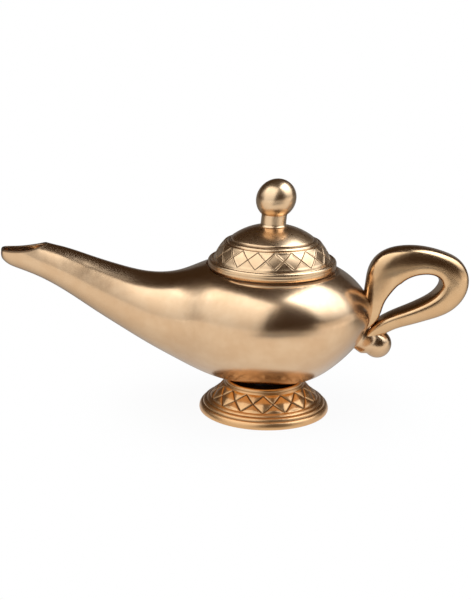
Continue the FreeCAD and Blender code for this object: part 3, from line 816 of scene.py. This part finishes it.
class Lattice:
    """One row of diamonds round a turned band, made one sector at a time."""

    def __init__(self, bm, band, bulge, span, count, centre_x, first, cells):
        self.bm, self.band, self.bulge, self.span = bm, band, bulge, span
        self.count, self.centre_x, self.first, self.cells = count, centre_x, first, cells
        self.pitch = math.tau / count
        self.layer = bm.verts.layers.float.new("groove")

    def surface(self, turn, share):
        """Point of the band, in millimetres, and the way out from it."""
        (r0, z0), (r1, z1) = self.band
        chord = Vector((r1 - r0, z1 - z0))
        out = Vector((chord.y, -chord.x)).normalized()
        radius = r0 + chord.x * share + out.x * self.bulge * 4 * share * (1 - share)
        height = z0 + chord.y * share + out.y * self.bulge * 4 * share * (1 - share)
        angle = self.first + turn - math.pi / 2
        ray = Vector((math.cos(angle), math.sin(angle), 0))
        spot = ray * radius + Vector((self.centre_x, 0, height))
        return spot, ray * out.x + Vector((0, 0, out.y)), radius

    def cell(self, turn, share, half, depth, width, swell, facet):
        """Diamond, or half of one, with its middle at turn and share. Swell raises it as a low
        pyramid and facet flattens its face."""
        tall = (self.span[1] - self.span[0]) / 2
        (r0, z0), (r1, z1) = self.band
        length = math.hypot(r1 - r0, z1 - z0)
        radius = (r0 + r1) / 2
        a, b = radius * self.pitch / 2, length * tall
        apart = a * b / math.hypot(a, b)
        grooves = {}

        def place(x, y):
            e, f = crowded(x), crowded(y)
            over, up = (e + f) / 2, (e - f) / 2
            spot, out, here = self.surface(turn + over * self.pitch / 2, share + up * tall)
            near = min(1 - abs(e), 1 - abs(f)) * apart
            groove = 1 - smooth_rise(near / width)
            inner = smooth_rise(near / (2.2 * width))
            flat = here * (math.cos(over * self.pitch / 2) - math.cos(self.pitch / 2))
            # The relief dies away where a diamond meets the plain rings.
            hold = smooth_rise(abs(up) * 5 if half else (1 - abs(up)) * 12)
            lift = swell * (1 - (e ** 6 + f ** 6) ** (1 / 6)) - facet * flat * inner
            spot = (spot + out * (lift - depth * groove) * hold) * MM
            grooves[spot.freeze()] = groove
            return spot

        made = sheet(self.bm, self.cells, self.cells, place, half)
        for vertex in made:
            vertex[self.layer] = grooves.get(vertex.co.copy().freeze(), 0.0)

    def row(self, **look):
        low, high = self.span
        self.cell(0.0, (low + high) / 2, 0, **look)
        self.cell(self.pitch / 2, high, 1, **look)
        self.cell(self.pitch / 2, low, -1, **look)

    def ring(self, line, groove=None):
        """Plain part of the sector along an outline; groove gives the patina and the painted shade
        of each place.
        """
        count = len(line) - 1

        def place(x, y):
            spot = line[round((y + 1) / 2 * count)]
            angle = self.first + self.pitch * (1 + crowded(x)) / 2 - math.pi / 2
            return Vector((
                self.centre_x + spot.x * math.cos(angle), spot.x * math.sin(angle), spot.y)) * MM

        made = sheet(self.bm, self.cells, count, place)
        if groove:
            for vertex in made:
                vertex[self.layer] = groove(vertex.co.z / MM)

    def moulding(self, points):
        """Ring along an outline, with patina in its hollows."""
        line = outline(points)
        self.ring(line, groove_mask(line))

    def strip(self, low, high, steps):
        """Plain part of the band between two shares of its height."""
        line = []
        for k in range(steps + 1):
            spot = self.surface(0.0, low + (high - low) * k / steps)
            line.append(Vector((spot[2], spot[0].z)))
        self.ring(line)

    def repeat(self):
        """Every other sector, as turned copies of the first."""
        bmesh.ops.spin(
            self.bm, geom=self.bm.verts[:] + self.bm.edges[:] + self.bm.faces[:],
            cent=(self.centre_x * MM, 0, 0), axis=(0, 0, 1),
            angle=math.tau * (self.count - 1) / self.count, steps=self.count - 1,
            use_duplicate=True)


def groove_mask(line):
    """Patina for each height of an outline: high where the line is hollow."""
    marks = []
    for i in range(2, len(line) - 2):
        a, b = line[i] - line[i - 2], line[i + 2] - line[i]
        bend = a.x * b.y - a.y * b.x
        size = max(a.length * b.length, 1e-6)
        marks.append((line[i].y, smooth_rise(-bend / size * 1.3)))
    return lambda z: max((m for y, m in marks if abs(y - z) < 0.02), default=0.0)


class LAMP_OT_bowl(bpy.types.Operator):
    """Bowl and spout with their wall, the open nozzle and the mouth"""

    bl_idname = "lamp.bowl"
    bl_label = "Bowl and spout"

    def execute(self, context):
        sizes = context.scene.lamp_sizes
        bm = bmesh.new()
        body_skin(bm)
        # The bowl's material carries a painted orange glow under the bowl and a painted dark
        # reflection on the nozzle's rim.
        look = brass("bowl_brass", waves=0.8, grain=0.2, patina_and_shade_marks=True, painted_glow_below=PAINTED_GLOW_TOP)
        piece = finished(
            bm, "bowl_and_spout", "lamp", look,
            ["body_shell_front", "body_shell_rear"])
        self.wall(piece, sizes)
        self.mouth(piece, sizes)
        piece.data.shade_smooth()
        piece.data.set_sharp_from_angle(angle=math.radians(40))
        # Painted dark reflection on the nozzle's rim.
        self.paint_rim_reflection(piece)
        return {"FINISHED"}

    def wall(self, piece, sizes):
        """Gives the skin its wall, thinner towards the nozzle, and rounds the nozzle's rim."""
        places = [row[0] for row in BODY_SECTIONS]
        walls = [row[7] for row in BODY_SECTIONS]
        thickest = max(walls)
        group = piece.vertex_groups.new(name="wall")
        for vertex in piece.data.vertices:
            wall = float(np.interp(vertex.co.x / MM, places, walls))
            group.add([vertex.index], wall / thickest, "REPLACE")
        wall = piece.modifiers.new("wall", "SOLIDIFY")
        wall.thickness = thickest * MM
        wall.offset = -1.0
        wall.vertex_group = "wall"
        edge = piece.modifiers.new("rim", "BEVEL")
        edge.limit_method = "ANGLE"
        edge.angle_limit = math.radians(60)
        edge.width = sizes.rim_radius
        edge.segments = 3
        edge.use_clamp_overlap = False
        settle(piece)
        piece.vertex_groups.clear()

    def mouth(self, piece, sizes):
        """Opens the mouth and cuts the recess that the lid's rim lies in."""
        floor, (past, under, over) = sizes.recess_floor, MOUTH_LAND
        low, high = floor - MOUTH_BORE[0], floor + MOUTH_BORE[1]
        land = cylinder(
            "mouth_land", sizes.recess_radius + past, floor - under, floor + over,
            hole=sizes.bore_radius - past)
        bore = cylinder("mouth_bore", sizes.bore_radius, low, high)
        recess = cylinder("mouth_recess", sizes.recess_radius, floor, high)
        carve(piece, [(land, "UNION"), (bore, "DIFFERENCE"), (recess, "DIFFERENCE")])

    def paint_rim_reflection(self, piece):
        """Paints a dark reflection on the rim of the nozzle through the same attribute as the
        grooves.
        """
        marks = piece.data.attributes.new("groove", "FLOAT", "POINT")
        full, gone = RIM_REFLECTION_PAINT
        for vertex in piece.data.vertices:
            x, z = vertex.co.x / MM, vertex.co.z / MM
            if NOZZLE_RIM[0][0] < x < NOZZLE_RIM[2][0] + 1:
                away = abs(z - rim_height(x))
                marks.data[vertex.index].value = 1 - smooth_rise((away - full) / (gone - full))


class LAMP_OT_handle(bpy.types.Operator):
    """Loop handle with its tail"""

    bl_idname = "lamp.handle"
    bl_label = "Handle"

    def execute(self, context):
        bm = bmesh.new()
        handle_skin(bm)
        look = brass("handle_brass", tint=(0.97, 0.92, 0.82), waves=0.9, grain=0.6)
        finished(bm, "handle", "lamp", look, ["handle_loop"])
        return {"FINISHED"}


class LAMP_OT_ball(bpy.types.Operator):
    """Ball under the handle's tail, with its web"""

    bl_idname = "lamp.ball"
    bl_label = "Handle ball"

    def execute(self, context):
        bm = bmesh.new()
        ball_skin(bm)
        look = brass("ball_brass", waves=0.3)
        finished(bm, "ball_on_web", "lamp", look, ["handle_ball"])
        return {"FINISHED"}


class LAMP_OT_foot(bpy.types.Operator):
    """Foot with its beads, its lattice of swollen diamonds and its lip"""

    bl_idname = "lamp.foot"
    bl_label = "Foot"

    def execute(self, context):
        sizes = context.scene.lamp_sizes
        bm = bmesh.new()
        lattice = Lattice(
            bm, FOOT_CONE, 0.0, FOOT_LATTICE, sizes.foot_diamonds, 0.0, math.radians(-2.0), 18)
        lattice.row(
            depth=sizes.foot_groove_depth / MM, width=sizes.foot_groove_width / MM,
            swell=sizes.foot_pillow / MM, facet=0.0)
        lattice.strip(0.0, FOOT_LATTICE[0], 1)
        lattice.strip(FOOT_LATTICE[1], 1.0, 4)
        lattice.moulding(FOOT_BEADS)
        lattice.moulding(FOOT_LIP)
        # The seat under the bowl takes the full patina colour: painted shade of the dark gap
        # between bowl and foot.
        lattice.ring(outline(FOOT_SEAT, 1.0, 1), lambda z: 1.0)
        lattice.ring(outline(FOOT_INSIDE, 3.0, 0))
        lattice.repeat()
        look = brass(
            "foot_brass", tint=(1.08, 0.94, 0.74), rougher=0.12, waves=0.45, grain=0.5,
            patina_and_shade_marks=True)
        finished(bm, "lattice_foot", "lamp", look, ["foot"])
        return {"FINISHED"}


class LAMP_OT_lid(bpy.types.Operator):
    """Lid with its rim, its incised lattice, its bead and its cap"""

    bl_idname = "lamp.lid"
    bl_label = "Lid"

    def execute(self, context):
        sizes = context.scene.lamp_sizes
        bm = bmesh.new()
        lattice = Lattice(
            bm, LID_BAND, LID_BAND_BULGE, LID_LATTICE, sizes.lid_diamonds, BOWL_X,
            math.radians(1.0), 20)
        lattice.row(
            depth=sizes.lid_groove_depth / MM, width=sizes.lid_groove_width / MM, swell=0.0,
            facet=0.55)
        lattice.strip(0.0, LID_LATTICE[0], 4)
        lattice.strip(LID_LATTICE[1], 1.0, 1)
        lattice.moulding(LID_RIM)
        lattice.moulding(LID_CAP)
        lattice.ring(outline(LID_INSIDE, 2.0, 0))
        lattice.repeat()
        # The lighter tint is a lit copy of the brass: painted highlight that brightens the lid.
        look = brass(
            "lid_brass", tint=(1.06, 1.08, 1.08), rougher=0.04, waves=0.45, grain=0.5,
            patina_and_shade_marks=True)
        finished(bm, "lattice_lid", "lid", look, ["lid_shell"])
        return {"FINISHED"}


class LAMP_OT_knob(bpy.types.Operator):
    """Ball knob on its necked stem"""

    bl_idname = "lamp.knob"
    bl_label = "Knob"

    def execute(self, context):
        neck = outline(KNOB_OUTLINE, 0.25, 2)
        start = math.asin((neck[-1].y - KNOB_CENTRE_Z) / KNOB_RADIUS)
        steps = 60
        ball = []
        for k in range(steps + 1):
            turn = start + (math.pi / 2 - start) * k / steps
            ball.append(Vector((
                KNOB_RADIUS * math.cos(turn), KNOB_CENTRE_Z + KNOB_RADIUS * math.sin(turn))))
        bm = bmesh.new()
        line = [((BOWL_X + spot.x) * MM, 0, spot.y * MM) for spot in neck[:-1] + ball]
        turned(bm, [bm.verts.new(spot) for spot in line], 120)
        close_ends(bm)
        lean = Matrix.Identity(4)
        lean[0][2] = KNOB_LEAN
        bmesh.ops.transform(
            bm, matrix=lean, space=Matrix.Translation((0, 0, -neck[0].y * MM)), verts=bm.verts[:])
        # The lighter, paler tint is partly a lit copy of the brass that brightens the knob's
        # highlights, and partly its paler colour.
        look = brass("knob_brass", tint=(1.08, 1.12, 1.14), rougher=0.05, waves=0.3, grain=0.5)
        finished(bm, "ball_knob", "lid", look, ["lid_knob"])
        return {"FINISHED"}


class LAMP_OT_fittings(bpy.types.Operator):
    """Finish of the collar, the wick holder, the skirt, the seal, the felt and the fasteners"""

    bl_idname = "lamp.fittings"
    bl_label = "Fittings"

    def execute(self, context):
        finish = context.scene.lamp_finish
        plain = brass("plain_brass", tint=(0.92, 0.92, 0.92), rougher=0.06, waves=0.1, grain=0.6)
        looks = {
            "mouth_collar": plain,
            "wick_holder": plain,
            "lid_skirt": plain,
            "lid_seal": soft("seal_cork", finish.cork, 900.0, 0.0002, 0.85),
            "foot_gasket": soft("gasket_rubber", finish.rubber, 1500.0, 0.00005, 0.6),
            "foot_felt": soft("foot_felt_pile", finish.felt, 1800.0, 0.0004, 0.95, sheen=0.3),
        }
        for name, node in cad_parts.items():
            if node.hide_render:
                continue
            node.data.materials.clear()
            node.data.materials.append(looks.get(name) or steel())
        return {"FINISHED"}


class LAMP_OT_studio(bpy.types.Operator):
    """Floor, backdrop, soft lights, surroundings and camera"""

    bl_idname = "lamp.studio"
    bl_label = "Studio"

    def camera(self, scene):
        data = bpy.data.cameras.new("camera")
        data.sensor_fit = "VERTICAL"
        data.sensor_height = CAMERA_SENSOR
        data.lens = CAMERA_LENS
        camera = bpy.data.objects.new("camera", data)
        scene.collection.objects.link(camera)
        tilt, roll = math.radians(CAMERA_ELEVATION), math.radians(CAMERA_ROLL)
        back = Vector((0, -math.cos(tilt), math.sin(tilt)))
        level, upward = Vector((1, 0, 0)), Vector((0, math.sin(tilt), math.cos(tilt)))
        right = level * math.cos(roll) + upward * math.sin(roll)
        up = upward * math.cos(roll) - level * math.sin(roll)
        spot = (Vector(CAMERA_TARGET) + back * CAMERA_DISTANCE) * MM
        turn = Matrix((right, up, back)).transposed().to_4x4()
        camera.matrix_world = Matrix.Translation(spot) @ turn
        scene.camera = camera

    def floor(self, studio):
        bm = bmesh.new()
        half, front, rear, cove, rise = FLOOR
        line = [(front, 0.0), (rear, 0.0)]
        for k in range(1, 13):
            turn = math.pi / 2 * k / 12
            line.append((rear + cove * math.sin(turn), cove * (1 - math.cos(turn))))
        line.append((rear + cove, rise))
        verts = [bm.verts.new((-half, y, z)) for y, z in line]
        edges = [bm.edges.new(pair) for pair in zip(verts, verts[1:])]
        out = bmesh.ops.extrude_edge_only(bm, edges=edges)["geom"]
        moved = [item for item in out if isinstance(item, bmesh.types.BMVert)]
        bmesh.ops.translate(bm, verts=moved, vec=(2 * half, 0, 0))
        for face in bm.faces:
            face.smooth = True
            if face.normal.z < -0.01:
                face.normal_flip()
        floor = new_object("floor", bm)
        floor.data.materials.append(self.floor_material(studio))

    def floor_material(self, studio):
        """White for the camera but for a faint shadow, and darker at the rear in reflections."""
        material, tree, shader, place = matt_material("floor", studio.floor_colour)
        glow = tree.nodes.new("ShaderNodeEmission")
        path = tree.nodes.new("ShaderNodeLightPath")
        camera = path.outputs["Is Camera Ray"]
        rear = map_range(tree, component(tree, place, "Y"), *FLOOR_GLOW)
        level = maths(tree, "MULTIPLY", maths(tree, "SUBTRACT", 1.0, camera), rear)
        tree.links.new(maths(tree, "ADD", camera, level), glow.inputs["Strength"])
        reach = tree.nodes.new("ShaderNodeVectorMath")
        reach.operation = "LENGTH"
        tree.links.new(place, reach.inputs[0])
        fade = map_range(
            tree, reach.outputs["Value"], *SHADOW_FADE, 1.0 - studio.shadow_share, 1.0)
        share = maths(tree, "ADD", maths(tree, "MULTIPLY", camera, fade), mirrored_rays(tree, path))
        mixed_shader(
            tree, share, shader.outputs["BSDF"], glow.outputs["Emission"], "Material Output")
        return material

    def flag(self):
        x, y, width, depth = FLAG
        bm = bmesh.new()
        bmesh.ops.create_grid(
            bm, x_segments=1, y_segments=1, size=0.5,
            matrix=Matrix.Translation((x, y, 0.002)) @ Matrix.Diagonal((width, depth, 1, 1)))
        flag = new_object("flag", bm)
        flag.data.materials.append(matt_material("flag", (0.3, 0.3, 0.3))[0])
        flag.visible_camera = False

    def gradient(self, data, tint, lower, upper, side_fade, top_fade):
        """Brightens a light from its lower to its upper edge, and fades its sides and its top."""
        data.use_nodes = True
        tree = data.node_tree
        place = tree.nodes.new("ShaderNodeNewGeometry").outputs["Parametric"]
        across, up = component(tree, place, "X"), component(tree, place, "Y")
        sides = map_range(tree, maths(tree, "PINGPONG", across, 0.5), 0.0, side_fade)
        top = map_range(tree, maths(tree, "SUBTRACT", 1.0, up), 0.0, top_fade)
        level = map_range(tree, up, 0.0, 1.0, lower, upper, smooth=False)
        strength = maths(tree, "MULTIPLY", maths(tree, "MULTIPLY", sides, top), level)
        tree.links.new(strength, tree.nodes["Emission"].inputs["Strength"])
        tree.nodes["Emission"].inputs["Color"].default_value = tint + (1.0,)

    def lights(self, scene, studio):
        for name, azimuth, elevation, distance, width, height, lean, *look in LIGHTS:
            data = bpy.data.lights.new(name, "AREA")
            data.shape = "RECTANGLE"
            data.size, data.size_y = width, height
            data.energy = math.pi * width * height * studio.light_level
            self.gradient(data, *look)
            light = bpy.data.objects.new(name, data)
            a, e = math.radians(azimuth), math.radians(elevation)
            way = Vector((math.sin(a) * math.cos(e), -math.cos(a) * math.cos(e), math.sin(e)))
            light.location = Vector(LIGHT_AIM) + way * distance
            turn = way.to_track_quat("Z", "Y") @ Quaternion((0, 0, 1), math.radians(lean))
            light.rotation_euler = turn.to_euler()
            light.visible_camera = False
            scene.collection.objects.link(light)

    def surroundings(self, scene, studio):
        world = bpy.data.worlds.new("studio")
        scene.world = world
        world.use_nodes = True
        tree = world.node_tree
        room = tree.nodes["Background"]
        room.inputs["Color"].default_value = opaque(studio.dark_room)
        pale = tree.nodes.new("ShaderNodeBackground")
        pale.inputs["Color"].default_value = (1.0, 1.0, 1.0, 1.0)
        path = tree.nodes.new("ShaderNodeLightPath")
        way = tree.nodes.new("ShaderNodeTexCoord").outputs["Generated"]
        low = map_range(tree, component(tree, way, "Z"), *HORIZON_FADE)
        below = maths(tree, "MULTIPLY", mirrored_rays(tree, path), low)
        seen = maths(tree, "ADD", path.outputs["Is Camera Ray"], below)
        mixed_shader(
            tree, seen, room.outputs["Background"], pale.outputs["Background"], "World Output")

    def execute(self, context):
        scene = context.scene
        studio = scene.lamp_studio
        self.camera(scene)
        self.floor(studio)
        self.flag()
        self.lights(scene, studio)
        self.surroundings(scene, studio)
        scene.view_settings.view_transform = "Standard"
        return {"FINISHED"}


class LAMP_PT_panel(bpy.types.Panel):
    """Lists the lamp's sizes, colours and pieces"""

    bl_idname = "LAMP_PT_panel"
    bl_label = "Genie oil lamp"
    bl_space_type = "VIEW_3D"
    bl_region_type = "UI"
    bl_category = "Lamp"

    def draw(self, context):
        scene = context.scene
        for group in (scene.lamp_sizes, scene.lamp_finish, scene.lamp_studio):
            box = self.layout.box()
            for name in group.bl_rna.properties.keys():
                if name not in ("rna_type", "name"):
                    box.prop(group, name)
        for operator in OPERATORS:
            self.layout.operator(operator.bl_idname)


GROUPS = (("lamp_sizes", LampSizes), ("lamp_finish", LampFinish), ("lamp_studio", LampStudio))
OPERATORS = (
    LAMP_OT_studio, LAMP_OT_bowl, LAMP_OT_foot, LAMP_OT_lid, LAMP_OT_knob, LAMP_OT_handle,
    LAMP_OT_ball, LAMP_OT_fittings,
)


def register():
    for name, group in GROUPS:
        bpy.utils.register_class(group)
        setattr(bpy.types.Scene, name, bpy.props.PointerProperty(type=group))
    for entry in OPERATORS + (LAMP_PT_panel,):
        bpy.utils.register_class(entry)


def unregister():
    for entry in (LAMP_PT_panel,) + OPERATORS[::-1]:
        bpy.utils.unregister_class(entry)
    for name, group in GROUPS[::-1]:
        delattr(bpy.types.Scene, name)
        bpy.utils.unregister_class(group)


def main():
    register()
    bpy.ops.lamp.studio()
    bpy.ops.lamp.bowl()
    bpy.ops.lamp.foot()
    bpy.ops.lamp.lid()
    bpy.ops.lamp.knob()
    bpy.ops.lamp.handle()
    bpy.ops.lamp.ball()
    bpy.ops.lamp.fittings()


if __name__ == "__main__":
    main()
